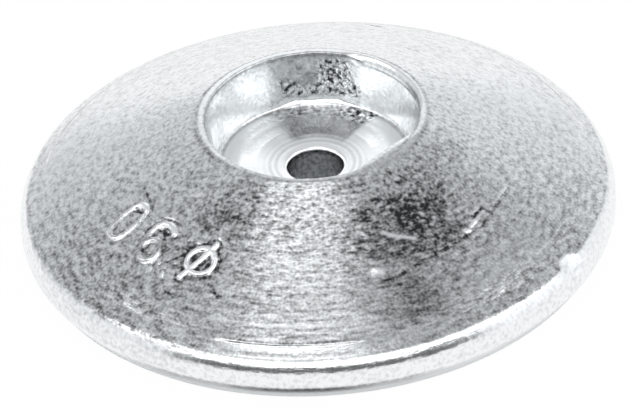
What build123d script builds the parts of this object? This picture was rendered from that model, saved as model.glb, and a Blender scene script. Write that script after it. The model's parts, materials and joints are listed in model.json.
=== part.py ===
from build123d import *
import os

# A disc anode: one casting in zinc, fastened with a bolt through its centre.
# A shallow cone rises from a rounded rim to a lip. Inside the lip is a pocket
# for the head of the bolt and its washer. The back is flat, against the hull.
# Millimetres. The origin is the centre of the back, and +Z comes out of the
# pocket. The front of the disc is -Y, and its right is +X.

# Rim and cone
disc_diameter = 90.0        # at the side of the rim, the widest part
flare_height = 2.7          # the rim flares outwards from the back up to here
flare_width = 1.9           # the flare's reach, from the edge of the back to the side
side_height = 3.8           # the side of the rim, from the flare up to the corner of the shoulder
cone_foot_height = 8.6      # back to the outer end of the cone
overall_height = 21.0       # back to the top of the lip

# Turned border between the cone and the shoulder, a little steeper than the cone
border_width = 3.2          # measured in from the side of the rim
border_step = 0.15          # its inner edge lies this much lower than the cone

# Pocket
floor_diameter = 29.2       # where the lines of wall and floor meet
pocket_depth = 8.3          # from the lip to the foot of the wall
wall_lean = 1.7             # the wall leans outwards by this much on its way up
lip_width = 0.9             # narrow flat ring round the mouth
floor_dish = 0.8            # the floor falls this much towards the hole
bolt_hole_diameter = 8.4    # clears an M8 bolt

# One stretch of the mouth was knocked straight
flat_offset = 1.3           # the straight stretch stands this far inside the round mouth
flat_bearing = 45.0         # its middle, degrees from the front towards the right
flat_blend_radius = 5.0     # where it runs into the round wall

# Edges
back_edge_radius = 0.6
flare_radius = 1.2
shoulder_radius = 2.9
lip_outer_radius = 0.8
lip_inner_radius = 0.5
floor_edge_radius = 0.6
hole_edge_radius = 0.7
back_hole_chamfer = 0.4

disc_radius = disc_diameter / 2
back_radius = disc_radius - flare_width
floor_radius = floor_diameter / 2
mouth_radius = floor_radius + wall_lean
lip_radius = mouth_radius + lip_width
bolt_hole_radius = bolt_hole_diameter / 2
border_radius = disc_radius - border_width
shoulder_height = flare_height + side_height
floor_height = overall_height - pocket_depth
hole_rim_height = floor_height - floor_dish


def section(*points):
    """A face in the upright plane through the axis, from (radius, height) points."""
    return make_face(Polyline(*points, close=True))


def rounded(face, point, radius):
    """The section with the corner nearest to a point rounded."""
    nearest = face.vertices().sort_by_distance(Vector(*point))[0]
    return fillet(nearest, radius)


def turned(face):
    """The solid that a section makes when it is turned about the axis."""
    return revolve(Plane.XZ * face, axis=Axis.Z)


def make_blank():
    """The disc as it would be with no pocket: back, flared rim, border, cone and flat top."""
    widest = (disc_radius, flare_height)
    shoulder = (disc_radius, shoulder_height)
    back_edge = (back_radius, 0)
    lip_edge = (lip_radius, overall_height)
    outline = section(
        (0, 0),
        back_edge,
        widest,
        shoulder,
        (border_radius, cone_foot_height - border_step),
        (border_radius, cone_foot_height),
        lip_edge,
        (0, overall_height),
    )
    outline = rounded(outline, back_edge, back_edge_radius)
    outline = rounded(outline, widest, flare_radius)
    outline = rounded(outline, shoulder, shoulder_radius)
    outline = rounded(outline, lip_edge, lip_outer_radius)
    return turned(outline)


def make_pocket():
    """The space to cut away: bolt hole, dished floor and tapered wall with its straight stretch."""
    hole_rim = (bolt_hole_radius, hole_rim_height)
    foot = (floor_radius, floor_height)
    outline = section(
        (0, 0),
        (bolt_hole_radius, 0),
        hole_rim,
        foot,
        (mouth_radius, overall_height),
        (0, overall_height),
    )
    outline = rounded(outline, hole_rim, hole_edge_radius)
    outline = rounded(outline, foot, floor_edge_radius)
    space = turned(outline)

    beyond = Box(disc_diameter, disc_diameter, disc_diameter, align=(Align.MIN, Align.CENTER, Align.CENTER))
    straight = Rot(0, 0, flat_bearing - 90) * Pos(mouth_radius - flat_offset, 0, 0)
    space -= straight * beyond
    flat = space.faces().filter_by(straight.x_axis).sort_by(Axis.Z)[-1]
    ends = [edge for edge in flat.edges() if edge.center().Z < overall_height - 0.01]
    return fillet(ends, flat_blend_radius)


def make_anode():
    """The finished casting."""
    anode = make_blank() - make_pocket()
    lip = anode.faces().sort_by(Axis.Z)[-1]
    anode = fillet(lip.inner_wires()[0].edges(), lip_inner_radius)
    back = anode.faces().sort_by(Axis.Z)[0]
    return chamfer(back.inner_wires()[0].edges(), back_hole_chamfer)


anode_disc = make_anode()
anode_disc.label = "anode_disc"
os.makedirs("parts", exist_ok=True)
export_step(anode_disc, "parts/anode_disc.step")
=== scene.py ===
import json
import math

import bmesh
import bpy
import numpy as np
from mathutils import Matrix, Vector

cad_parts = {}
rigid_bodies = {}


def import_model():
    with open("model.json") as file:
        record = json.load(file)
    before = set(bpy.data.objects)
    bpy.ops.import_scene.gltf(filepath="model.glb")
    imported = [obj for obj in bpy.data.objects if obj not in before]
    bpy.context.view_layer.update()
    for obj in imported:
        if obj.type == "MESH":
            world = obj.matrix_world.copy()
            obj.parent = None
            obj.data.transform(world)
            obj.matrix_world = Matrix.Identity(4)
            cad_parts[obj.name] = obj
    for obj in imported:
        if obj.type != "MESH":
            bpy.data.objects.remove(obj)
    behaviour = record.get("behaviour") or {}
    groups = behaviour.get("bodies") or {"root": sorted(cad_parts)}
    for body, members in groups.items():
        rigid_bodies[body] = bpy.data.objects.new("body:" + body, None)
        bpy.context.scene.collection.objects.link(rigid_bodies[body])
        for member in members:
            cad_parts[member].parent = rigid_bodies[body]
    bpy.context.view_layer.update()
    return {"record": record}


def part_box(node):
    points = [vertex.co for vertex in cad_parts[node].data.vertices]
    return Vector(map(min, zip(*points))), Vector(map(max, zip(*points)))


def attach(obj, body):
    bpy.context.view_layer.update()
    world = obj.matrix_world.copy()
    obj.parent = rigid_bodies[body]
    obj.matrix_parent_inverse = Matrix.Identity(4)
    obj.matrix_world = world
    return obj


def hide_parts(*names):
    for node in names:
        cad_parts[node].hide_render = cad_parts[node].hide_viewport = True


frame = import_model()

# A zinc disc anode, dressed over its solid: one casting, with the skin, streaks, knocks and
# size mark of a real one. Metres. The back lies on the floor at z = 0, and the front is -Y.
# A bearing is in degrees round the axis, from the front towards the right.

MM = 0.001

# Sizes that the frame gives
DISC_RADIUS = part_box("anode_disc")[1][0]
OVERALL_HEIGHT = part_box("anode_disc")[1][2]
BOLT_HOLE_RADIUS = frame["record"]["mounts"][0]["dims"]["r_mm"] * MM

# Rim and cone, as in the solid
FLARE_HEIGHT = 2.7 * MM
FLARE_WIDTH = 1.9 * MM
SIDE_HEIGHT = 3.8 * MM
CONE_FOOT_HEIGHT = 8.6 * MM
BORDER_WIDTH = 3.2 * MM
BORDER_STEP = 0.15 * MM

# Pocket, as in the solid
FLOOR_RADIUS = 14.6 * MM
POCKET_DEPTH = 8.3 * MM
WALL_LEAN = 1.7 * MM
LIP_WIDTH = 0.9 * MM
FLOOR_DISH = 0.8 * MM
FLAT_OFFSET = 1.3 * MM
FLAT_BEARING = 45.0

# Edges, as in the solid
BACK_EDGE_RADIUS = 0.6 * MM
FLARE_RADIUS = 1.2 * MM
SHOULDER_RADIUS = 2.9 * MM
LIP_OUTER_RADIUS = 0.8 * MM
LIP_INNER_RADIUS = 0.2 * MM      # crisper than in the solid
FLOOR_EDGE_RADIUS = 0.6 * MM
HOLE_EDGE_RADIUS = 0.7 * MM
BACK_HOLE_CHAMFER = 0.4 * MM

MOUTH_RADIUS = FLOOR_RADIUS + WALL_LEAN
LIP_RADIUS = MOUTH_RADIUS + LIP_WIDTH
BACK_RADIUS = DISC_RADIUS - FLARE_WIDTH
BORDER_RADIUS = DISC_RADIUS - BORDER_WIDTH
SHOULDER_HEIGHT = FLARE_HEIGHT + SIDE_HEIGHT
FLOOR_HEIGHT = OVERALL_HEIGHT - POCKET_DEPTH
HOLE_RIM_HEIGHT = FLOOR_HEIGHT - FLOOR_DISH
CONE_FALL = (OVERALL_HEIGHT - CONE_FOOT_HEIGHT) / (BORDER_RADIUS - LIP_RADIUS)
CONE_SLOPE = math.hypot(1, CONE_FALL)    # way down the cone for each step outwards

# What this one casting has besides
FRONT_BEARING = -8.0             # middle of the stretch in front where the turning is still crisp
CREASE_BEARING = 178.0           # middle of the stretch where the pocket's crease is filled
CREASE_RADIUS = 1.15 * MM
CHIP_BEARING = 57.9              # the chip in the shoulder
CHIP_REACH = 3.8                 # it runs out this many degrees to either side
GOUGE_RADIUS = 31.4 * MM         # the gouge across the right of the cone
BORDER_LINE = 1.35               # a fine line along the border, in millimetres out from where it starts

# How finely the mesh is divided: steps round the axis, and pitches along the section
STEPS_ROUND = 360
FLOOR_PITCH = 0.40 * MM
WALL_PITCH = 0.32 * MM
CONE_PITCH = 0.33 * MM
TOUCH = 0.001 * MM               # closer than this is the same place

# Noise
STREAK_SLANT = 1.5               # divides radius less height, which grows faster than the way down the cone
NOISE_MIXERS = (73856093, 19349663, 83492791)    # primes that scatter the corners of a lattice
NOISE_TABLE = 4096               # how many values they are scattered over


def cone_height(radius):
    """Height of the cone's surface at a radius."""
    return CONE_FOOT_HEIGHT + CONE_FALL * (BORDER_RADIUS - radius)


# ---------------------------------------------------------------- modelling by hand


def deselect_everything():
    """Nothing selected, and no active object."""
    for thing in bpy.context.view_layer.objects:
        thing.select_set(False)
    bpy.context.view_layer.objects.active = None


def edit(thing):
    """Opens one object in edit mode."""
    deselect_everything()
    thing.select_set(True)
    bpy.context.view_layer.objects.active = thing
    bpy.ops.object.mode_set(mode="EDIT")


def pick(thing, wanted, kind="verts"):
    """In edit mode, selects only the verts, edges or faces for which wanted(element) holds."""
    modes = {"verts": "VERT", "edges": "EDGE", "faces": "FACE"}
    bpy.ops.mesh.select_mode(type=modes[kind])
    bpy.ops.mesh.select_all(action="DESELECT")
    mesh = bmesh.from_edit_mesh(thing.data)
    for element in getattr(mesh, kind):
        if wanted(element):
            element.select_set(True)
    mesh.select_flush_mode()
    bmesh.update_edit_mesh(thing.data)


def near(place):
    """A test for vertices at a (radius, height) corner of the section."""
    spot = Vector((place[0], 0, place[1]))
    return lambda vert: (vert.co - spot).length < TOUCH


def middle_of(edge):
    """The middle of an edge."""
    return (edge.verts[0].co + edge.verts[1].co) / 2


def draw_section(corners):
    """The section of the casting as a closed line in the XZ plane, left in edit mode."""
    deselect_everything()
    first = corners[0]
    bpy.ops.mesh.primitive_plane_add(size=2 * MM)
    thing = bpy.context.object
    bpy.ops.object.mode_set(mode="EDIT")
    bpy.ops.mesh.select_all(action="SELECT")
    bpy.ops.mesh.merge(type="CENTER")
    bpy.ops.transform.translate(value=(first[0], 0, first[1]))
    for here, there in zip(corners, corners[1:]):
        step = (there[0] - here[0], 0, there[1] - here[1])
        bpy.ops.mesh.extrude_region_move(TRANSFORM_OT_translate={"value": step})
    pick(thing, lambda vert: len(vert.link_edges) == 1)
    bpy.ops.mesh.edge_face_add()
    return thing


def round_corner(thing, corners, at, radius, segments):
    """Rounds one corner of the section: the bevel starts where the arc meets the lines."""
    here = Vector(corners[at])
    before = (Vector(corners[at - 1]) - here).normalized()
    after = (Vector(corners[(at + 1) % len(corners)]) - here).normalized()
    half = before.angle(after) / 2
    pick(thing, near(here))
    reach = radius / math.tan(half)
    bpy.ops.mesh.bevel(offset=reach, offset_type="OFFSET", segments=segments, profile=0.5, affect="VERTICES")


def divide_long_edges(thing, low, high, pitch):
    """Divides the section's edges between two radii into steps of about one pitch."""
    mesh = bmesh.from_edit_mesh(thing.data)
    middles = [
        middle_of(edge)
        for edge in mesh.edges
        if edge.calc_length() > 1.5 * pitch
        and low <= min(vert.co.x for vert in edge.verts)
        and max(vert.co.x for vert in edge.verts) <= high
    ]
    for middle in middles:
        pick(thing, lambda edge: (middle_of(edge) - middle).length < TOUCH, "edges")
        mesh = bmesh.from_edit_mesh(thing.data)
        length = sum(edge.calc_length() for edge in mesh.edges if edge.select)
        bpy.ops.mesh.subdivide(number_cuts=round(length / pitch) - 1)


def turn_casting():
    """The whole skin of the casting: its section drawn, rounded, divided and spun about the axis."""
    # each corner of the section, with the radius that rounds it and the steps along that round
    rounds = (
        ((BOLT_HOLE_RADIUS, BACK_HOLE_CHAMFER), 0, 0),
        ((BOLT_HOLE_RADIUS + BACK_HOLE_CHAMFER, 0), 0, 0),
        ((BACK_RADIUS, 0), BACK_EDGE_RADIUS, 3),
        ((DISC_RADIUS, FLARE_HEIGHT), FLARE_RADIUS, 4),
        ((DISC_RADIUS, SHOULDER_HEIGHT), SHOULDER_RADIUS, 12),
        ((BORDER_RADIUS, cone_height(BORDER_RADIUS) - BORDER_STEP), 0, 0),
        ((BORDER_RADIUS, cone_height(BORDER_RADIUS)), 0, 0),
        ((LIP_RADIUS, OVERALL_HEIGHT), LIP_OUTER_RADIUS, 3),
        ((MOUTH_RADIUS, OVERALL_HEIGHT), LIP_INNER_RADIUS, 4),
        ((FLOOR_RADIUS, FLOOR_HEIGHT), FLOOR_EDGE_RADIUS, 4),
        ((BOLT_HOLE_RADIUS, HOLE_RIM_HEIGHT), HOLE_EDGE_RADIUS, 5),
    )
    corners = [corner for corner, _, _ in rounds]
    thing = draw_section(corners)
    thing.name = "anode_casting"
    for at, (_, radius, steps) in reversed(list(enumerate(rounds))):
        if radius:
            round_corner(thing, corners, at, radius, steps)
    divide_long_edges(thing, BOLT_HOLE_RADIUS - MM, FLOOR_RADIUS, FLOOR_PITCH)
    divide_long_edges(thing, FLOOR_RADIUS - MM, MOUTH_RADIUS + MM, WALL_PITCH)
    divide_long_edges(thing, LIP_RADIUS - MM, DISC_RADIUS + MM, CONE_PITCH)
    bpy.ops.object.mode_set(mode="OBJECT")
    lathe = thing.modifiers.new("lathe", "SCREW")
    lathe.axis, lathe.angle, lathe.screw_offset = "Z", math.tau, 0
    lathe.steps = lathe.render_steps = STEPS_ROUND
    lathe.use_merge_vertices, lathe.merge_threshold = True, TOUCH / 2
    bpy.ops.object.modifier_apply(modifier=lathe.name)
    edit(thing)
    bpy.ops.mesh.select_all(action="SELECT")
    bpy.ops.mesh.normals_make_consistent(inside=False)
    bpy.ops.object.mode_set(mode="OBJECT")
    return thing


def soft_noise(places, pitch, seed):
    """Smooth noise from -1 to 1, with lumps of about one pitch. The same seed gives the same lumps."""
    table = np.random.default_rng(seed).uniform(-1, 1, NOISE_TABLE)
    cell = np.asarray(places) / pitch
    corner = np.floor(cell).astype(np.int64)
    part = cell - corner
    part = part * part * (3 - 2 * part)
    total = 0
    for far in np.ndindex(2, 2, 2):
        x, y, z = ((corner + far) * NOISE_MIXERS).T
        value = table[(x ^ y ^ z) % NOISE_TABLE]
        for axis in range(3):
            value = value * (part[:, axis] if far[axis] else 1 - part[:, axis])
        total = total + value
    return total


def rise(value, low, high):
    """0 below low, 1 above high and a smooth rise between."""
    share = np.clip((value - low) / (high - low), 0, 1)
    return share * share * (3 - 2 * share)


def between(value, low, full, fade, high):
    """0 up to low, 1 from full to fade and 0 again from high, with smooth turns."""
    return rise(value, low, full) * (1 - rise(value, fade, high))


def hump(value, middle, width):
    """1 at the middle, falling smoothly to 0 one width away on either side."""
    return 1 - rise(np.abs(value - middle), 0, width)


def smaller(one, other, blend):
    """The smaller of two values, with a rounded turn from one to the other."""
    share = np.clip(0.5 + (other - one) / (2 * blend), 0, 1)
    return other * (1 - share) + one * share - blend * share * (1 - share)


class Skin:
    """The points of a turned mesh, with their radius, height and bearing."""

    def __init__(self, thing):
        self.mesh = thing.data
        flat = np.empty(3 * len(self.mesh.vertices))
        self.mesh.vertices.foreach_get("co", flat)
        x, y, self.z = flat.reshape(-1, 3).T
        self.r = np.hypot(x, y)
        self.bearing = np.degrees(np.arctan2(x, -y))

    def past(self, radius):
        """How far out from a radius, in millimetres."""
        return (self.r - radius) / MM

    def above(self, height):
        """How far above a height, in millimetres."""
        return (self.z - height) / MM

    def places(self):
        """The points' places, one row each."""
        turn = np.radians(self.bearing)
        return np.stack([self.r * np.sin(turn), -self.r * np.cos(turn), self.z], -1)

    def off(self, bearing):
        """Degrees round from a bearing, -180 to 180."""
        return (self.bearing - bearing + 180) % 360 - 180

    def normals(self):
        """The points' normals, one row each."""
        flat = np.empty(3 * len(self.mesh.vertices))
        self.mesh.vertices.foreach_get("normal", flat)
        return flat.reshape(-1, 3)

    def put(self, places=None):
        """Writes the points back into the mesh, or puts them at other places."""
        places = self.places() if places is None else places
        self.mesh.vertices.foreach_set("co", places.ravel())
        self.mesh.update()


def shape_mouth(thing):
    """The stretch of the mouth that was knocked straight, with its land, and a broken edge at the back."""
    skin = Skin(thing)
    most_off = 60                # degrees to either side that the straight stretch can take up
    blend = 0.3 * MM             # how softly it runs into the round mouth
    run_out = 5 * MM             # the cone is drawn in after the mouth over this width
    lift = 0.24                  # and rises by this share of it
    off = skin.off(FLAT_BEARING)
    near_flat = np.abs(off) < most_off
    reach = (MOUTH_RADIUS - FLAT_OFFSET) / np.cos(np.radians(np.clip(off, -most_off, most_off)))
    shift = np.where(near_flat, smaller(MOUTH_RADIUS, reach, blend) - MOUTH_RADIUS, 0)

    # the wall meets the flat; the lip and the cone round it are drawn in after the mouth
    above_floor = skin.z > FLOOR_HEIGHT + 0.05 * MM
    wall = above_floor & (skin.r < MOUTH_RADIUS + 0.01 * MM)
    outside = skin.r > MOUTH_RADIUS
    inner = smaller(skin.r, reach, blend)
    drawn = shift * (1 - rise(skin.r, LIP_RADIUS, LIP_RADIUS + run_out))
    skin.r = np.where(wall & near_flat, inner, np.where(outside & above_floor, skin.r + drawn, skin.r))
    skin.z = skin.z - np.where(outside, lift * drawn, 0)

    # the mouth's inner edge is broken at the back, to the right
    broken = between(skin.bearing, 84, 108, 148, 162)
    edge = LIP_RADIUS - 0.42 * MM
    break_slope = 1.6
    highest = OVERALL_HEIGHT - break_slope * (edge - skin.r)
    cut = np.where(above_floor & (skin.r < edge), np.maximum(skin.z - highest, 0), 0)
    skin.z = skin.z - broken * cut
    skin.put()


def fill_crease(thing):
    """The crease between floor and wall is filled with a wider round at the back of the pocket."""
    skin = Skin(thing)
    share = between(skin.off(CREASE_BEARING), -32, -10, 8, 28)
    up = skin.z - FLOOR_HEIGHT
    inside = FLOOR_RADIUS + WALL_LEAN * np.maximum(up, 0) / POCKET_DEPTH - skin.r
    near_crease = (up > -0.3 * MM) & (inside > -0.1 * MM) & (np.maximum(up, inside) < CREASE_RADIUS)
    on_wall = near_crease & (up > inside)
    on_floor = near_crease & ~on_wall
    turn = math.radians(45) * (1 - np.clip(np.maximum(up, inside) / CREASE_RADIUS, 0, 1))
    near_edge, far_edge = CREASE_RADIUS * (1 - np.cos(turn)), CREASE_RADIUS * (1 - np.sin(turn))
    inwards = np.where(on_wall, near_edge - inside, np.where(on_floor, far_edge - inside, 0))
    upwards = np.where(on_wall, far_edge - up, np.where(on_floor, near_edge - np.maximum(up, 0), 0))
    skin.r = skin.r - share * inwards
    skin.z = skin.z + share * upwards
    skin.put()


def shape_rim(thing):
    """At the sides the border's step has been rubbed away: there the cone runs on over it, a little lower.
    """
    skin = Skin(thing)
    drop = 0.26 * MM             # so much lower
    most_lift = 0.22 * MM        # the skin comes no further off the step
    tilt = math.atan(CONE_FALL)
    over = (skin.r > BORDER_RADIUS - 3 * MM) & (skin.z > SHOULDER_HEIGHT - SHOULDER_RADIUS)
    sides = rise(np.abs(skin.off(FRONT_BEARING)), 11, 18) * (1 - rise(np.abs(skin.bearing), 95, 125))
    plane = cone_height(skin.r) - drop * rise(skin.r, BORDER_RADIUS - 2.4 * MM, BORDER_RADIUS + 0.8 * MM)
    lifted = np.minimum((plane - skin.z) * math.cos(tilt), most_lift)

    # over the shoulder the lift runs out, in such a way that the skin there leans evenly
    first_lean, last_lean, centre_angle = 34.6, 57.7, 27.7
    centre = SHOULDER_HEIGHT - SHOULDER_RADIUS * math.tan(math.radians(centre_angle))
    lean = np.degrees(np.arccos(np.clip((skin.z - centre) / SHOULDER_RADIUS, -1, 1)))
    left = 1 - np.clip((lean - first_lean) / (last_lean - first_lean), 0, 1)
    lifted = np.where(skin.r > BORDER_RADIUS + 0.5 * MM, lifted * left**2, lifted)
    lifted = np.where(over, lifted * sides, 0)
    skin.r = skin.r + lifted * math.sin(tilt)
    skin.z = skin.z + lifted * math.cos(tilt)
    skin.put()


# Strokes of the size mark, which is plain: a diameter sign and the disc's own diameter. Each stroke is
# a row of (across, up) points in millimetres, as read with the rim above. Across runs to the reader's
# right. The mark sets each sign at its bearing.
MARK_RADIUS = 31.6 * MM
STROKE_WIDTH = 0.55


def loop(across, up, half_width, half_height, square=2.0, steps=28):
    """Points along an oval. A square over 2 makes it fuller at the corners."""
    turns = [math.tau * step / steps for step in range(steps + 1)]
    parts = [(math.cos(turn), math.sin(turn)) for turn in turns]
    fuller = [tuple(math.copysign(abs(part) ** (2 / square), part) for part in pair) for pair in parts]
    return [(across + half_width * x, up + half_height * y) for x, y in fuller]


NINE_TAIL = [(1.7, 1.2), (2.15, -0.6), (1.9, -2.1), (1.2, -3.0), (0.2, -3.4), (-1.0, -3.2), (-1.9, -2.5)]
ZERO = [loop(0, 0.2, 1.65, 3.4, 2.6, 36)]
NINE = [loop(0, 1.55, 1.6, 1.85), NINE_TAIL]
SIGN = [loop(0, -0.2, 2.25, 2.15), [(-1.15, -3.5), (1.75, 3.2)]]
SIGN_BEARING = -35.2
MARK = ((SIGN_BEARING, SIGN), (-51.3, NINE), (-64.3, ZERO))


def distance_to_lines(across, up, strokes):
    """How far each point is from the nearest stroke."""
    least = np.full_like(across, 99.0)
    for stroke in strokes:
        for (x0, y0), (x1, y1) in zip(stroke, stroke[1:]):
            dx, dy = x1 - x0, y1 - y0
            along = np.clip(((across - x0) * dx + (up - y0) * dy) / (dx * dx + dy * dy), 0, 1)
            least = np.minimum(least, np.hypot(across - x0 - along * dx, up - y0 - along * dy))
    return least


def divide_faces(thing, low, high, first, last, cuts):
    """Divides the cone's faces between two radii and two bearings into finer ones."""

    def wanted(face):
        middle = face.calc_center_median()
        radius = math.hypot(middle.x, middle.y)
        bearing = math.degrees(math.atan2(middle.x, -middle.y))
        return low < radius < high and first < bearing < last and middle.z > SHOULDER_HEIGHT

    edit(thing)
    pick(thing, wanted, "faces")
    bpy.ops.mesh.subdivide(number_cuts=cuts)
    bpy.ops.object.mode_set(mode="OBJECT")


# Knocks, scratches and spots on the cone, each along a line of (radius, bearing) points: half width,
# height (negative is a dent) and tone (from 1, black, to -1, bright metal). Millimetres.
KNOCKS = (
    # a cleaner stretch near the rim, on the right
    (((37.6, 39.0), (37.8, 57.0)), 2.8, 0.0, -0.16),
    # the long groove on the right, and the gouge that crosses it
    (((33.9, 13.6), (33.3, 20.4), (32.5, 28.4), (32.2, 36.0)), 0.20, -0.04, 0.52),
    (((32.2, 36.0), (32.2, 47.6), (31.7, 53.7), (31.3, 60.5), (31.4, 66.0)), 0.28, -0.05, 0.55),
    (((30.4, 49.0), (30.3, 54.0)), 0.26, -0.06, 0.75),
    (((31.25, 46.3), (31.1, 48.6)), 0.28, 0.08, -0.9),
    (((31.1, 48.6), (30.8, 51.0), (30.7, 53.6)), 0.18, 0.06, -0.7),
    (((30.5, 47.4), (31.1, 48.6)), 0.18, 0.05, -0.7),
    (((31.3, 43.8), (31.6, 45.0)), 0.30, 0.09, -1.0),
    (((30.9, 58.0), (30.8, 66.0)), 0.16, 0.03, -0.3),
    (((34.8, 50.0), (34.4, 60.0), (34.6, 66.0)), 0.16, -0.03, 0.25),
    (((36.0, 36.0), (35.5, 44.0)), 0.20, -0.03, 0.25),
    # the wavering scratch and the bright spots on the right
    (((25.7, 13.4), (26.5, 14.9)), 0.22, 0.06, -0.9),
    (((26.5, 20.5), (27.3, 22.5), (28.0, 25.2), (28.9, 29.0)), 0.25, 0.06, -0.8),
    (((31.8, 14.4), (32.2, 15.7)), 0.46, 0.16, -1.0),
    (((32.6, 11.8), (32.7, 12.0)), 0.24, -0.06, 0.8),
    (((31.9, 31.8), (32.8, 31.9)), 0.20, -0.06, 0.8),
    (((27.8, 10.0), (28.1, 10.2)), 0.22, 0.06, -0.9),
    (((28.0, 13.7), (28.1, 13.9)), 0.20, 0.06, -0.8),
    (((26.0, 35.8), (26.3, 36.0)), 0.22, 0.06, -0.8),
    (((27.2, 34.4), (27.1, 35.3)), 0.20, 0.05, -0.7),
    (((19.9, 36.4), (20.0, 37.8)), 0.20, 0.06, -0.8),
    (((20.5, 36.0), (20.6, 37.4)), 0.22, -0.06, 0.9),
    # lines and spots on the left
    (((29.9, -83.6), (27.8, -79.0), (26.2, -75.5)), 0.22, 0.06, -0.8),
    (((30.4, -82.5), (28.4, -78.5)), 0.24, -0.05, 0.5),
    (((29.2, -84.5), (27.2, -79.5)), 0.22, -0.04, 0.35),
    (((26.3, -74.5), (25.0, -68.0), (23.7, -60.6), (22.6, -48.6)), 0.24, 0.05, -0.5),
    (((25.5, -66.0), (24.2, -58.0)), 0.22, -0.04, 0.35),
    (((27.2, -71.7), (27.7, -65.7), (28.4, -60.8)), 0.22, -0.05, 0.55),
    (((28.2, -54.5), (27.7, -49.0)), 0.20, -0.04, 0.45),
    (((30.6, -56.4), (31.9, -56.2)), 0.26, -0.06, 0.9),
    (((33.0, -47.9), (34.3, -47.8)), 0.30, 0.08, -0.9),
    (((36.4, -45.6), (37.2, -44.6), (38.3, -43.4)), 0.34, 0.04, -0.5),
    (((33.6, -46.6), (34.0, -45.6)), 0.20, 0.05, -0.7),
    (((34.8, -43.4), (35.7, -42.8)), 0.22, 0.07, -0.8),
    (((35.0, -47.2), (35.8, -46.6)), 0.26, 0.07, -0.8),
    (((35.8, -50.2), (36.5, -49.0)), 0.24, 0.06, -0.7),
    (((34.3, -59.0), (34.1, -57.0)), 0.20, 0.05, -0.5),
    (((35.4, -60.6), (35.4, -58.4)), 0.22, 0.06, -0.6),
    (((34.2, -45.4), (31.5, -41.0)), 0.18, -0.05, 0.5),
    (((34.7, -44.6), (32.1, -40.3)), 0.16, 0.04, -0.3),
    (((26.2, -34.2), (26.5, -33.7)), 0.22, 0.07, -0.9),
    (((27.3, -33.2), (27.5, -33.0)), 0.20, 0.06, -0.8),
    (((37.0, -40.0), (37.6, -37.0)), 0.20, -0.04, 0.4),
    (((34.3, -29.9), (34.5, -29.0)), 0.28, -0.06, 0.9),
    (((35.0, -28.3), (35.2, -27.6)), 0.28, -0.06, 0.9),
    (((35.6, -27.0), (35.8, -26.4)), 0.26, -0.05, 0.8),
    (((34.8, -26.9), (35.0, -26.5)), 0.22, 0.05, -0.6),
    # painted shade inside the figures of the size mark, in shallow dents
    (((29.45, -61.8), (29.6, -63.6), (30.1, -66.0)), 0.34, -0.18, 1.0),
    (((29.95, -49.8), (29.9, -52.5)), 0.34, -0.16, 0.9),
    (((33.3, -53.6), (33.6, -53.0)), 0.24, -0.04, 0.7),
    (((32.5, -48.9), (33.0, -48.7)), 0.22, -0.04, 0.6),
    # marks near the rim, at the back and in front
    (((42.1, -75.6), (42.7, -74.6)), 0.40, 0.12, -0.9),
    (((27.8, 151.5), (27.9, 142.0)), 0.26, -0.06, 0.35),
    (((28.6, 151.0), (28.8, 142.0)), 0.26, 0.05, 0.0),
    (((39.9, 164.2), (39.9, 164.8)), 0.32, -0.20, 1.0),
    (((33.3, 103.0), (35.4, 96.5), (36.5, 92.5)), 0.22, -0.05, 0.3),
    (((36.2, 93.5), (39.5, 88.0)), 0.22, -0.05, 0.3),
    (((23.5, -107.0), (26.5, -112.0)), 0.20, -0.05, 0.25),
    (((30.5, -12.0), (30.9, -9.4)), 0.25, 0.06, -0.5),
    (((34.6, -16.5), (35.0, -14.4)), 0.25, 0.06, -0.5),
)

# Stained places on the cone: radius, bearing, half length round the axis and half width along the
# cone in millimetres, and how dark
STAINS = (
    (27.0, 29.0, 14.0, 15.0, 0.16),
    (26.2, 30.5, 10.5, 6.6, 0.38),
    (26.3, 31.6, 2.6, 2.4, 0.55),
    (25.7, 40.4, 2.6, 0.9, 0.40),
    (23.4, 28.0, 7.0, 1.6, 0.18),
    (19.6, 37.0, 3.2, 1.6, 0.20),
    (30.4, 30.0, 9.0, 0.8, 0.22),
    (37.4, 21.0, 5.6, 4.8, 0.40),
    (22.0, 56.0, 8.0, 4.0, 0.18),
    (21.5, -31.0, 4.2, 6.2, 0.22),
    (25.0, -36.0, 4.5, 3.5, 0.16),
    # the next two are painted shade, over the size mark's diameter sign and over its nine
    (31.4, -35.3, 3.6, 3.2, 0.34),
    (31.3, -51.0, 5.5, 4.4, 0.12),
    (40.0, -60.0, 9.0, 2.2, 0.10),
    (39.2, -42.0, 6.0, 1.4, 0.12),
)


def on_cone(skin):
    """1 on the cone and its border, 0 on the rim's side, the back and in the pocket."""
    over = (skin.r > LIP_RADIUS - 2 * MM) & (skin.z > SHOULDER_HEIGHT)
    return np.where(over, rise(skin.r, LIP_RADIUS - 0.4 * MM, LIP_RADIUS + 0.3 * MM), 0.0)


def past_lip(skin):
    """The same, but 0 on all of the lip."""
    return on_cone(skin) * (skin.r > LIP_RADIUS)


def in_pocket(skin):
    """True on the pocket's floor and wall, and in the mouth of the bolt hole."""
    return (skin.r < MOUTH_RADIUS + 0.2 * MM) & (skin.z > HOLE_RIM_HEIGHT - 0.5 * MM)


def distance_on_cone(skin, points):
    """How far each point is from a line of (radius, bearing) points, in millimetres."""
    middle = math.radians(points[len(points) // 2][1])
    turns = [math.radians(bearing) - middle for _, bearing in points]
    line = [(radius * math.sin(turn), radius * math.cos(turn)) for (radius, _), turn in zip(points, turns)]
    turn = np.radians(skin.bearing) - middle
    return distance_to_lines(skin.r / MM * np.sin(turn), skin.r / MM * np.cos(turn), [line])


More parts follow.
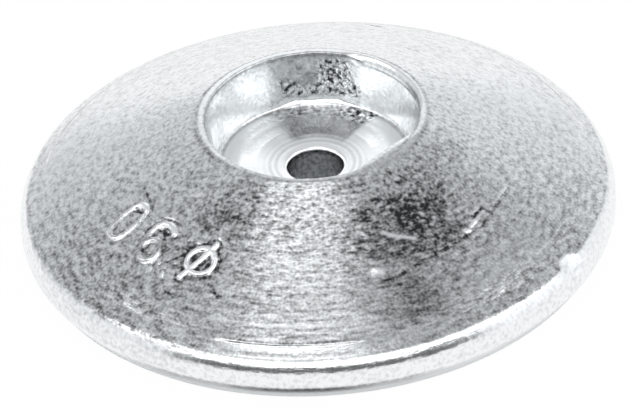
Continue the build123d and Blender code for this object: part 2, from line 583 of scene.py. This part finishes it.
def distance_to_mark(skin):
    """How far each point is from the strokes of the size mark, in millimetres. Past its signs it is 9."""
    reach = 5.0
    least = np.full_like(skin.r, 9.0)
    up = skin.past(MARK_RADIUS) * CONE_SLOPE
    for bearing, strokes in MARK:
        across = -MARK_RADIUS / MM * np.radians(skin.off(bearing))
        close = (np.abs(across) < reach) & (np.abs(up) < reach) & (skin.z > SHOULDER_HEIGHT)
        least[close] = np.minimum(least[close], distance_to_lines(across[close], up[close], strokes))
    return least


def cast_relief(skin):
    """The slumps of a casting, and streaks that turning has left round the axis, in millimetres."""
    place = skin.places() / MM
    turn = np.radians(skin.bearing)
    down = (skin.r - skin.z) / MM
    front = rise(-place[:, 1], -10, 25)
    calm = 1 - 0.8 * rise(skin.past(BORDER_RADIUS), 0.8, 1.8)
    cone = on_cone(skin) * calm

    def streaks(length, pitch, seed):
        """Noise drawn out round the axis, in lumps so many degrees long and so wide along the section."""
        times = math.degrees(1) / length
        where = [times * np.cos(turn), times * np.sin(turn), down / (STREAK_SLANT * pitch)]
        return soft_noise(np.stack(where, -1), 1.0, seed)

    relief = 0.05 * soft_noise(place, 9.0, 11) + 0.02 * soft_noise(place, 4.2, 12)
    relief += cone * (0.012 + 0.010 * front) * streaks(30, 1.15, 13)
    relief += cone * (0.010 + 0.008 * front) * streaks(6, 0.9, 14)
    return relief + calm * (0.006 + 0.005 * front) * soft_noise(place, 1.5, 15)


# Rings turned in the pocket's floor: radius, half width and height in millimetres
FLOOR_RINGS = ((7.8, 0.45, -0.05), (10.4, 0.5, -0.05), (5.9, 0.4, -0.02), (9.0, 0.5, 0.03))
FLOOR_RIPPLE = 1.25              # pitch in millimetres of the finer rings between them


def pocket_relief(skin):
    """Turned rings on the floor of the pocket, and drawn marks and pits on its wall, in millimetres."""
    r, z = skin.r / MM, skin.z / MM
    turn = np.radians(skin.bearing)
    floor = (skin.above(FLOOR_HEIGHT) < 0.2) & (skin.past(FLOOR_RADIUS) < 0.1)
    rings = sum(height * hump(r, radius, width) for radius, width, height in FLOOR_RINGS)
    rings = rings + 0.015 * np.sin(r * math.tau / FLOOR_RIPPLE)

    def marks(times, length, seed):
        """Noise on the wall: so many lumps for each radian round, and so long up the wall."""
        return soft_noise(np.stack([times * np.cos(turn), times * np.sin(turn), z / length], -1), 1.0, seed)

    pits = np.minimum(marks(11, 1.3, 17), 0.1)
    behind = rise(np.cos(turn - math.radians(172)), 0.88, 0.97)
    wall_marks = 0.015 * marks(13, 4.0, 16) + 0.12 * pits * behind
    return np.where(in_pocket(skin), np.where(floor, rings, wall_marks), 0)


def damage_relief(skin):
    """A fine line along the border, knocks with soft sides, and the chip, in millimetres."""
    cone = past_lip(skin)
    out = skin.past(BORDER_RADIUS)
    border = (out > -0.01) & (skin.z > SHOULDER_HEIGHT)
    front = 1 - rise(np.abs(skin.off(FRONT_BEARING)), 12, 20)
    relief = np.where(border, -0.05 * hump(out, BORDER_LINE, 0.35) * front, 0)
    for points, width, height, _ in KNOCKS:
        relief += cone * height * (1 - rise(distance_on_cone(skin, points), 0.15 * width, 1.6 * width))
    chip = hump(skin.off(CHIP_BEARING), 0, CHIP_REACH) * rise(out, 1.1, 1.9)
    return relief - 0.5 * chip * rise(skin.above(SHOULDER_HEIGHT), -2.1, -0.9)


def mark_relief(skin):
    """The size mark, raised, with a shallow trough along its strokes, in millimetres."""
    gap = distance_to_mark(skin) / STROKE_WIDTH
    return past_lip(skin) * (0.24 * (1 - rise(gap, 0.25, 1.0)) - 0.07 * hump(gap, 1.5, 0.9))


def raise_relief(thing):
    """Moves the skin along its normals. The back stays flat, and the bore stays true."""
    skin = Skin(thing)
    relief = cast_relief(skin) + pocket_relief(skin) + damage_relief(skin) + mark_relief(skin)
    relief *= rise(skin.above(0), 0.05, 0.8)
    relief = np.where(skin.past(BOLT_HOLE_RADIUS) < 0.3, 0, relief)
    place = skin.places() / MM + relief[:, None] * skin.normals()
    place[:, 2] = np.maximum(place[:, 2], 0)
    skin.put(place * MM)


class Finish:
    """Three shares on every point of the skin, for its look: darkened by stains and by painted shade,
    brightened as rubbed metal and by painted highlights, and pitted.
    """

    def __init__(self, skin):
        self.mesh = skin.mesh
        self.stain_and_shade = np.zeros_like(skin.r)
        self.wear_and_highlight = np.zeros_like(skin.r)
        self.pitted = np.zeros_like(skin.r)

    def darken(self, share, where=True):
        """Darkens the skin: stains, and painted shade."""
        self.stain_and_shade += np.where(where, share, 0)

    def brighten(self, share, where=True):
        """Brightens the skin, by this share at least: rubbed metal, and painted highlights."""
        self.wear_and_highlight = np.where(where, np.maximum(self.wear_and_highlight, share), self.wear_and_highlight)

    def dull(self, share, where=True):
        """Takes a share of the brightness away."""
        self.wear_and_highlight = np.where(where, self.wear_and_highlight * (1 - share), self.wear_and_highlight)

    def pit(self, share, where=True):
        """Roughens the skin."""
        self.pitted += np.where(where, share, 0)

    def keep(self):
        """Writes the three shares to the mesh, where the material reads them."""
        for name, share in (("stain_and_shade", self.stain_and_shade), ("wear_and_highlight", self.wear_and_highlight), ("pitted", self.pitted)):
            layer = self.mesh.attributes.new(name, "FLOAT", "POINT")
            layer.data.foreach_set("value", np.clip(share, 0, 1).astype(np.float32))


# The functions that follow give each stretch by where it starts, is full, fades and ends: in degrees
# round the axis, or in millimetres out from a radius or up from a height.
TURNED_PITCH = 1.22              # of the turned lines on the front of the cone, in millimetres
WORN_LINE = 39.0                 # radius in millimetres of the one that is worn bright


def finish_cone(finish, skin, wander):
    """Stained places, turned lines at the front, and what each knock left."""
    r = skin.r / MM
    cone = past_lip(skin)
    for radius, bearing, along, across, dark in STAINS:
        round_axis = radius * np.radians(skin.off(bearing)) / along
        down_cone = (r - radius) * CONE_SLOPE / across
        reach = np.hypot(round_axis, down_cone) + 0.25 * wander
        finish.darken(cone * dark * (1 - rise(reach, 0.6, 1.15)))

    turned = cone * hump(skin.off(FRONT_BEARING), 0, 26) * rise(r, 30, 36) * (r < BORDER_RADIUS / MM)
    finish.darken(turned * 0.11 * (1 + np.sin(r * math.tau / TURNED_PITCH + 0.9 * wander)))
    finish.brighten(turned * 0.6 * hump(r + 0.05 * wander, WORN_LINE, 0.4))
    for points, width, _, tone in KNOCKS:
        near_line = cone * (1 - rise(distance_on_cone(skin, points), 0.5 * width, 1.5 * width))
        finish.darken(max(tone, 0) * near_line)
        finish.brighten(max(-tone, 0) * near_line)


def finish_mark(finish, skin):
    """The size mark's strokes are painted bright, a painted highlight, most on the diameter sign and towards
    the lip, and painted shade lies along them, most in the diameter sign.
    """
    r = skin.r / MM
    cone = past_lip(skin)
    gap = distance_to_mark(skin)
    inward = 1 - rise(r, 29.0, 31.5)
    strokes = 1 - rise((gap - 0.15 * inward) / STROKE_WIDTH, 0.45, 0.95)
    beside = between(gap / STROKE_WIDTH, 0.7, 1.1, 1.5, 2.6)
    sign = 1 - rise(np.abs(skin.off(SIGN_BEARING)), 5.5, 7)
    finish.brighten(cone * strokes * np.maximum(sign, 0.25 + 0.7 * inward))
    finish.darken(cone * beside * (0.20 + 0.45 * sign))


def finish_border(finish, skin):
    """In front, painted shade makes a dark line where the border starts, and there is another dark line on
    it. Between them the border is painted bright, a painted highlight.
    """
    out = skin.past(BORDER_RADIUS)
    border = (out > -0.4) & (skin.above(SHOULDER_HEIGHT) > -1)
    front = 1 - rise(np.abs(skin.off(FRONT_BEARING)), 10, 17)
    first_line, second_line = hump(out, -0.18, 0.34), hump(out, BORDER_LINE, 0.4)
    finish.brighten(0.9 * front * rise(out, -0.1, 0.2), border)
    finish.dull(0.9 * second_line, border)
    finish.darken(0.5 * front * first_line + 0.4 * front * second_line, border)


def finish_side(finish, skin, wander):
    """The side of the rim is painted bright below its corner, a painted highlight, with a band of painted
    shade round its front and a dull line along its corner.
    """
    bearing, up = skin.bearing, skin.above(SHOULDER_HEIGHT)
    side = (skin.past(BORDER_RADIUS) > 0.7) & (skin.above(FLARE_HEIGHT) > -0.3)

    # the corner, where the painted highlight ends, is lower at the front left, where it is also softer, and
    # jumps up over the chip
    corner = 0.45 + 0.3 * rise(bearing, -30, -15) + 0.12 * wander
    corner = corner + 0.9 * hump(skin.off(CHIP_BEARING), 0, CHIP_REACH)
    soft = 0.3 * between(-bearing, 22, 36, 70, 90)
    bright = 1 - rise(up, corner - 0.15 - soft, corner + 0.15 + soft)
    specks = soft_noise(skin.places() / MM, 0.8, 23)
    finish.dull(bright, side)
    finish.brighten(bright * (0.95 - 0.5 * soft - 0.25 * np.maximum(specks, 0)), side)

    # bumps under it at the front left, then the band of painted shade, then the line
    bumps = between(bearing, -42, -35, -35, -28) * hump(up, -0.3, 1.1) * rise(specks, 0.0, 0.4)
    finish.darken(0.6 * bumps, side)
    finish.dull(0.6 * bumps, side)
    width = 0.75 - 0.28 * rise(bearing, 4, 16)
    band = between(bearing, -36, -24, 22, 32) * hump(up + 0.05 * wander, -0.5, width)
    finish.dull(0.6 * band, side)
    finish.darken(0.55 * band * (0.8 + 0.5 * rise(bearing, -5, 15)), side)
    line = between(bearing, 50, 66, 105, 130) + 0.5 * between(-bearing, 60, 80, 100, 125)
    finish.darken(0.30 * line * hump(up, 0.75, 0.4), side)
    finish.pit(0.12, side)


def finish_flare(finish, skin):
    """The flare is painted bright too, a painted highlight, and darkened with painted shade where it lies in
    the shade, most in the middle of the front.
    """
    up = skin.above(FLARE_HEIGHT)
    flare = (skin.past(BORDER_RADIUS) > 0.2) & (up < 0.5)
    shade = between(up, -2.3, -0.2, 0, 0.5)
    under = shade * between(skin.bearing, -50, -30, 12, 30)
    middle = between(skin.bearing, -25, -10, -1, 11)
    finish.dull(1, flare)
    finish.brighten(0.95 - 0.65 * under - 0.3 * middle * shade, flare)
    finish.darken(0.9 * middle * hump(up, -0.6, 0.9) + 0.4 * under, flare)


def finish_pocket(finish, skin, wander):
    """The pocket is bright, but the back of its wall and of its floor is rough, and darkened there with
    painted shade.
    """
    up, out = skin.above(FLOOR_HEIGHT), skin.past(BOLT_HOLE_RADIUS)
    pocket = in_pocket(skin)
    wall = pocket & (up > 0.1)
    floor = pocket & ~wall
    finish.dull(1, pocket)
    finish.brighten(np.where(wall, 0.55, 1.0), pocket)

    # the wall, most pitted on its right and along its foot; the foot itself is rubbed bright, and above it
    # the back of the wall is darkened with painted shade
    turn = skin.bearing % 360
    edge = turn + 3.0 * wander - (up - 4.3)
    patch = between(edge, 152, 157, 196, 201) * rise(up + 0.3 * wander, 1.3, 2.0)
    dotted = (1 - rise(turn, 173, 177)) * (1 - rise(up, 6.3, 7.6))
    foot = 1 - rise(up - 1.4 * rise(turn, 184, 192), 2.3, 3.5)
    finish.brighten(0.95 * between(turn, 143, 157, 197, 211), wall & (up < 1.9))
    finish.dull(patch, wall)
    finish.darken(patch * (0.42 + 0.5 * hump(up, 7.8, 0.4)), wall)
    finish.pit(0.10 + patch * np.maximum(dotted, 0.7 * foot), wall)

    # the floor, most pitted on its right, and darkened at its back with painted shade
    spread = between(turn, 134, 141, 200, 218) * rise(out + 0.5 * wander, 1.4, 4.0)
    finish.dull(spread, floor)
    finish.darken(spread * (0.85 + 0.4 * wander), floor)
    finish.pit(spread * rise(out, 5.8, 9.3) * (0.65 - 0.4 * rise(turn, 157, 165)), floor)


def finish_crease(finish, skin):
    """Painted shade lies in the crease round the pocket's floor, but not at the back."""
    out = skin.past(FLOOR_RADIUS)
    darkness = hump(skin.above(FLOOR_HEIGHT), 0.05, 0.45)
    crease = in_pocket(skin) & (out > -0.8) & (out < 0.6) & (darkness > 0)
    clean = between(skin.off(CREASE_BEARING), -20, -8, 8, 20)
    finish.darken(0.5 * (1 - clean) * darkness, crease)
    finish.dull(1 - clean, crease)


def finish_lip(finish, skin):
    """Away from the front the lip is painted bright along its middle, a painted highlight, and painted shade
    lies along both its edges.
    """
    out = skin.past(MOUTH_RADIUS)
    lip = (out > -0.15) & (skin.above(OVERALL_HEIGHT) > -0.8)
    around = np.abs(skin.bearing)
    far, farther = rise(around, 40, 60), rise(around, 95, 120)
    finish.brighten(0.9 * far * between(out, 0.2, 0.3, 0.65, 0.8) * (0.35 + 0.65 * farther), lip)
    finish.dull(1, lip & (out < 0.2))
    darkness = (0.45 + 0.5 * farther) * hump(out, 1.3, 0.5) + 0.3 * (1 - rise(out, 0.1, 0.25))
    finish.darken(far * darkness, lip)


def finish_skin(thing):
    """Stains, rubbed metal, painted shade, painted highlights and pits all over the casting."""
    skin = Skin(thing)
    finish = Finish(skin)
    wander = soft_noise(skin.places() / MM, 2.2, 21)
    finish_cone(finish, skin, wander)
    finish_mark(finish, skin)
    finish_border(finish, skin)
    finish_side(finish, skin, wander)
    finish_flare(finish, skin)
    finish_pocket(finish, skin, wander)
    finish_crease(finish, skin)
    finish_lip(finish, skin)
    finish.keep()


casting = turn_casting()
shape_mouth(casting)
fill_crease(casting)
shape_rim(casting)
divide_faces(casting, MARK_RADIUS - 4.2 * MM, MARK_RADIUS + 4.0 * MM, -70, -29, cuts=3)
divide_faces(casting, GOUGE_RADIUS - 2.0 * MM, GOUGE_RADIUS + 2.0 * MM, 43, 67, cuts=1)
finish_skin(casting)
raise_relief(casting)
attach(casting, "root")
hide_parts("anode_disc")
casting.data.polygons.foreach_set("use_smooth", [True] * len(casting.data.polygons))


# ---------------------------------------------------------------- studio

VIEW_ELEVATION = math.radians(35.638)
VIEW_ROLL = math.radians(3.933)
VIEW_DISTANCE = 3.0
PIXELS_PER_METRE = 6612.0           # at the middle of the disc's back
PICTURE_WIDTH, PICTURE_HEIGHT = 635, 414
BACK_CENTRE_IN_PICTURE = (319.64, 227.90)


def place_camera():
    """A long lens from the front, 35 degrees up, rolled a little clockwise."""
    camera = bpy.data.cameras.new("camera")
    camera.sensor_width = 36.0
    camera.lens = PIXELS_PER_METRE * VIEW_DISTANCE / PICTURE_WIDTH * camera.sensor_width
    camera.clip_start, camera.clip_end = 0.1, 20.0
    thing = bpy.data.objects.new("camera", camera)
    bpy.context.scene.collection.objects.link(thing)
    turn = Matrix.Rotation(math.pi / 2 - VIEW_ELEVATION, 4, "X") @ Matrix.Rotation(-VIEW_ROLL, 4, "Z")
    across = (PICTURE_WIDTH / 2 - BACK_CENTRE_IN_PICTURE[0]) / PIXELS_PER_METRE
    up = (BACK_CENTRE_IN_PICTURE[1] - PICTURE_HEIGHT / 2) / PIXELS_PER_METRE
    thing.matrix_world = turn @ Matrix.Translation((across, up, VIEW_DISTANCE))
    bpy.context.scene.camera = thing


def lay_floor():
    """A wide white floor."""
    deselect_everything()
    bpy.ops.mesh.primitive_circle_add(vertices=96, radius=5.0, fill_type="NGON")
    floor = bpy.context.object
    floor.name = "floor"
    floor.data.name = "floor"
    return floor


# ---------------------------------------------------------------- shading


class Wire:
    """A node's output with arithmetic: an expression on wires adds its Math nodes."""

    def __init__(self, maker, socket):
        self.maker, self.socket = maker, socket

    def maths(self, operation, *values):
        return self.maker.node("Math", {"operation": operation}, dict(enumerate(values)))

    def __add__(self, other):
        return self.maths("ADD", self, other)

    def __sub__(self, other):
        return self.maths("SUBTRACT", self, other)

    def __rsub__(self, other):
        return self.maths("SUBTRACT", other, self)

    def __mul__(self, other):
        return self.maths("MULTIPLY", self, other)

    def __truediv__(self, other):
        return self.maths("DIVIDE", self, other)

    def __pow__(self, other):
        return self.maths("POWER", self, other)

    def size(self):
        """The value without its sign."""
        return self.maths("ABSOLUTE", self)

    def sine(self):
        return self.maths("SINE", self)

    def at_least(self, other):
        return self.maths("MAXIMUM", self, other)

    def at_most(self, other):
        return self.maths("MINIMUM", self, other)

    def rise(self, low, high):
        """0 below low, 1 above high and a smooth rise between."""
        values = {"Value": self, "From Min": low, "From Max": high}
        return self.maker.node("MapRange", {"interpolation_type": "SMOOTHSTEP"}, values)

    __radd__ = __add__
    __rmul__ = __mul__


class Maker:
    """Adds nodes to one tree."""

    def __init__(self, owner):
        owner.use_nodes = True
        self.tree = owner.node_tree
        self.tree.nodes.clear()

    def node(self, kind, settings, values, out=0):
        """One node: its settings first, then a value or a wire for each socket named or numbered."""
        new = self.tree.nodes.new("ShaderNode" + kind)
        for name, setting in settings.items():
            setattr(new, name, setting)
        for name, value in values.items():
            socket = new.inputs[name]
            if isinstance(value, Wire):
                self.tree.links.new(value.socket, socket)
            else:
                socket.default_value = value
        return Wire(self, new.outputs[out]) if new.outputs else None

    def share(self, name):
        """One of the shares that are written on the skin."""
        return self.node("Attribute", {"attribute_name": name}, {}, "Fac")


ZINC = (0.905, 0.92, 0.93, 1.0)
DULL_ZINC = (0.03, 0.032, 0.034, 1.0)
WHITE = (1.0, 1.0, 1.0, 1.0)
NOISE_START = 7.3                # moves the drawn-out noise to a stretch of its own
HOLE_RING_PITCH = 0.95           # of the turned rings round the bolt hole, in millimetres


def zinc_material():
    """Cast zinc, turned and handled: bright metal under a grainy skin, with dull grey patches, and the
    painted shade and painted highlights that the skin carries.
    """
    material = bpy.data.materials.new("cast_zinc")
    make = Maker(material)

    # places in millimetres; the way out from the axis is split into its two parts
    place = make.node("TexCoord", {}, {}, "Object")
    place = make.node("VectorMath", {"operation": "SCALE"}, {0: place, "Scale": 1 / MM})
    across, deep, high = (make.node("SeparateXYZ", {}, {"Vector": place}, axis) for axis in "XYZ")
    radius = (across * across + deep * deep) ** 0.5
    out_x, out_y = across / radius, deep / radius
    down = radius - high

    def noise(where, scale, detail):
        return make.node("TexNoise", {}, {"Vector": where, "Scale": scale, "Detail": detail})

    def drawn_round(times, pitch, detail):
        """Noise drawn out round the axis: so many lumps for each radian, each so wide down the cone."""
        along = down / (STREAK_SLANT * pitch) + NOISE_START
        where = make.node("CombineXYZ", {}, {"X": out_x * times, "Y": out_y * times, "Z": along})
        return noise(where, 1.0, detail)

    # where on the casting
    stain_and_shade, wear_and_highlight, pitted = make.share("stain_and_shade"), make.share("wear_and_highlight"), make.share("pitted")
    front = (0.0 - deep).rise(-16.0, 28.0)
    ahead = ((0.0 - deep) / radius).rise(0.80, 0.96)
    left = (0.0 - across).rise(0.0, 12.0)
    outside = (radius - MOUTH_RADIUS / MM).rise(-0.1, 2.1)
    outer = radius.rise(22.0, 36.0)
    upper = (high - SHOULDER_HEIGHT / MM).rise(-1.5, 0.5)

    # its grain
    lumps = drawn_round(28.0, 0.72, 0.0)
    dashes = drawn_round(19.0, 0.48, 1.2)
    rings = drawn_round(1.5, 0.90, 0.0)
    grain = noise(place, 2.3, 0.0)
    dots = make.node("TexVoronoi", {"feature": "F1"}, {"Vector": place, "Scale": 0.62}, "Distance")
    pores = 1 - dots.rise(0.14, 0.32)
    pits = 0.5 - noise(place, 1.5, 1.0)

    # small bumps, in millimetres; the pocket is smoother, but for its pits
    height = (0.05 - 0.038 * ahead) * lumps + 0.010 * grain
    height = height + (0.035 + (0.016 - 0.010 * outer) * ahead) * dashes + 0.02 * rings
    height = height * (0.2 + 0.8 * outside) - 0.25 * pitted * pits
    relief = make.node("Bump", {}, {"Height": height, "Strength": 1.0, "Distance": MM})

    # dullness: how dark the skin is, more so towards the front and where stains and painted shade lie, less
    # where it is rubbed or painted bright, and how far it varies from grain to grain
    darkness = 0.06 + 0.42 * front + 0.56 * stain_and_shade
    spread = 0.30 + (0.05 + 0.08 * left) * front + 0.16 * stain_and_shade
    spread = spread * (1 + (0.10 - 0.2 * outer) * ahead)
    spread = spread * (0.35 + 0.65 * upper) * (0.3 + 0.7 * outside)
    mottle = (0.5 - lumps) * (2.2 - 1.4 * ahead) + (0.5 - grain) * (2.0 - 0.4 * ahead)
    mottle = mottle + (0.5 - dashes) * (1.1 + (2.6 - 1.4 * outer) * ahead)
    dullness = darkness + spread * (mottle + (0.5 - rings) * 0.5) + (0.05 + 0.3 * stain_and_shade) * front * pores
    dullness = dullness.rise(-0.25, 1.25) * (1 - wear_and_highlight) + 5.0 * pitted * pits

    # turned rings round the bolt hole, and painted shade in the bore: a dark edge at its top, and dark
    # mottling all down it
    from_hole, from_rim = radius - BOLT_HOLE_RADIUS / MM, high - HOLE_RIM_HEIGHT / MM
    turned = from_hole.rise(0.8, 1.4) * (1 - from_hole.rise(2.4, 4.4)) * upper
    turned = turned * (0.5 + 0.5 * (radius * (math.tau / HOLE_RING_PITCH)).sine())
    bore = (1 - from_hole.rise(0.0, 0.15)) * (0.5 * from_rim.rise(-1.5, -0.6) + 1.5 * pits)
    dullness = (dullness + 0.22 * turned + bore).at_least(0.0).at_most(1.0)
    colour = make.node("Mix", {"data_type": "RGBA"}, {"Factor": dullness, 6: ZINC, 7: DULL_ZINC}, 2)
    rough = 0.20 + 0.12 * dullness
    metal = {"Base Color": colour, "Metallic": 1.0, "Roughness": rough, "Normal": relief}
    make.node("OutputMaterial", {}, {"Surface": make.node("BsdfPrincipled", {}, metal)})
    return material


def floor_material():
    """White paint. To the eye, and in reflections, it is close to an even white, but not under the disc."""
    material = bpy.data.materials.new("floor_white")
    make = Maker(material)
    paint = make.node("BsdfDiffuse", {}, {"Color": (0.9, 0.9, 0.9, 1.0)})
    glow = make.node("Emission", {}, {"Color": WHITE, "Strength": 1.0})
    place = make.node("TexCoord", {}, {}, "Object")
    reach = make.node("VectorMath", {"operation": "LENGTH"}, {0: place}, "Value")
    camera_ray = make.node("LightPath", {}, {}, "Is Camera Ray")
    glossy_ray = make.node("LightPath", {}, {}, "Is Glossy Ray")
    beside = reach.rise(BACK_RADIUS - MM, BACK_RADIUS)
    clear = reach.rise(DISC_RADIUS - 1.5 * MM, DISC_RADIUS + 0.5 * MM)
    most_glow = 0.97
    share = (camera_ray * beside + glossy_ray * clear) * most_glow
    surface = make.node("MixShader", {}, {"Fac": share, 1: paint, 2: glow})
    make.node("OutputMaterial", {}, {"Surface": surface})
    return material


def studio_world():
    """A room with a bright wall behind, and a dim ceiling and front. To the eye it is white."""
    world = bpy.data.worlds.new("studio")
    bpy.context.scene.world = world
    make = Maker(world)
    direction = make.node("TexCoord", {}, {}, "Generated")
    across, deep, up = (make.node("SeparateXYZ", {}, {"Vector": direction}, axis) for axis in "XYZ")
    low = 1 - (up - 0.08 * across).rise(0.46, 0.62)
    sides = deep.rise(-0.72, -0.45)
    beside = 1 - deep.rise(0.1, 0.7)
    right = across.rise(0.2, 0.45)
    behind = (1 - across.size().rise(0.15, 0.4)) * sides * (1 - up.rise(0.60, 0.70))
    strength = 0.68 - 0.57 * (low * (1 - sides))
    strength = strength + (low * sides) * (0.06 + 0.22 * beside + 0.14 * right) + 0.42 * behind
    light = make.node("Background", {}, {"Color": (0.97, 0.99, 1.0, 1.0), "Strength": strength})
    backdrop = make.node("Background", {}, {"Color": WHITE, "Strength": 1.0})
    camera_ray = make.node("LightPath", {}, {}, "Is Camera Ray")
    surface = make.node("MixShader", {}, {"Fac": camera_ray, 1: light, 2: backdrop})
    make.node("OutputWorld", {}, {"Surface": surface})


def hang_lamp(name, place, aim, size, radiance):
    """A rectangular soft light. Its power follows from its size and from how bright it looks."""
    lamp = bpy.data.lights.new(name, "AREA")
    lamp.shape = "RECTANGLE"
    lamp.size, lamp.size_y = size
    lamp.energy = radiance * math.pi * size[0] * size[1]
    thing = bpy.data.objects.new(name, lamp)
    bpy.context.scene.collection.objects.link(thing)
    thing.location = place
    thing.rotation_euler = (Vector(aim) - Vector(place)).to_track_quat("-Z", "Y").to_euler()


place_camera()
floor = lay_floor()
floor.data.materials.append(floor_material())
studio_world()
hang_lamp("overhead_lamp", (-0.10, -0.06, 1.0), (-0.10, -0.06, 0), (0.44, 0.42), 0.92)
hang_lamp("front_softbox", (0, -0.84, 0.70), (0, 0, 0), (1.2, 0.70), 1.5)
hang_lamp("left_softbox", (-0.78, -0.36, 0.78), (0, 0, 0), (1.1, 0.55), 1.5)
hang_lamp("right_softbox", (0.78, -0.36, 0.78), (0, 0, 0), (1.1, 0.55), 1.5)
casting.data.materials.clear()
casting.data.materials.append(zinc_material())

scene = bpy.context.scene
scene.view_settings.view_transform = "Standard"
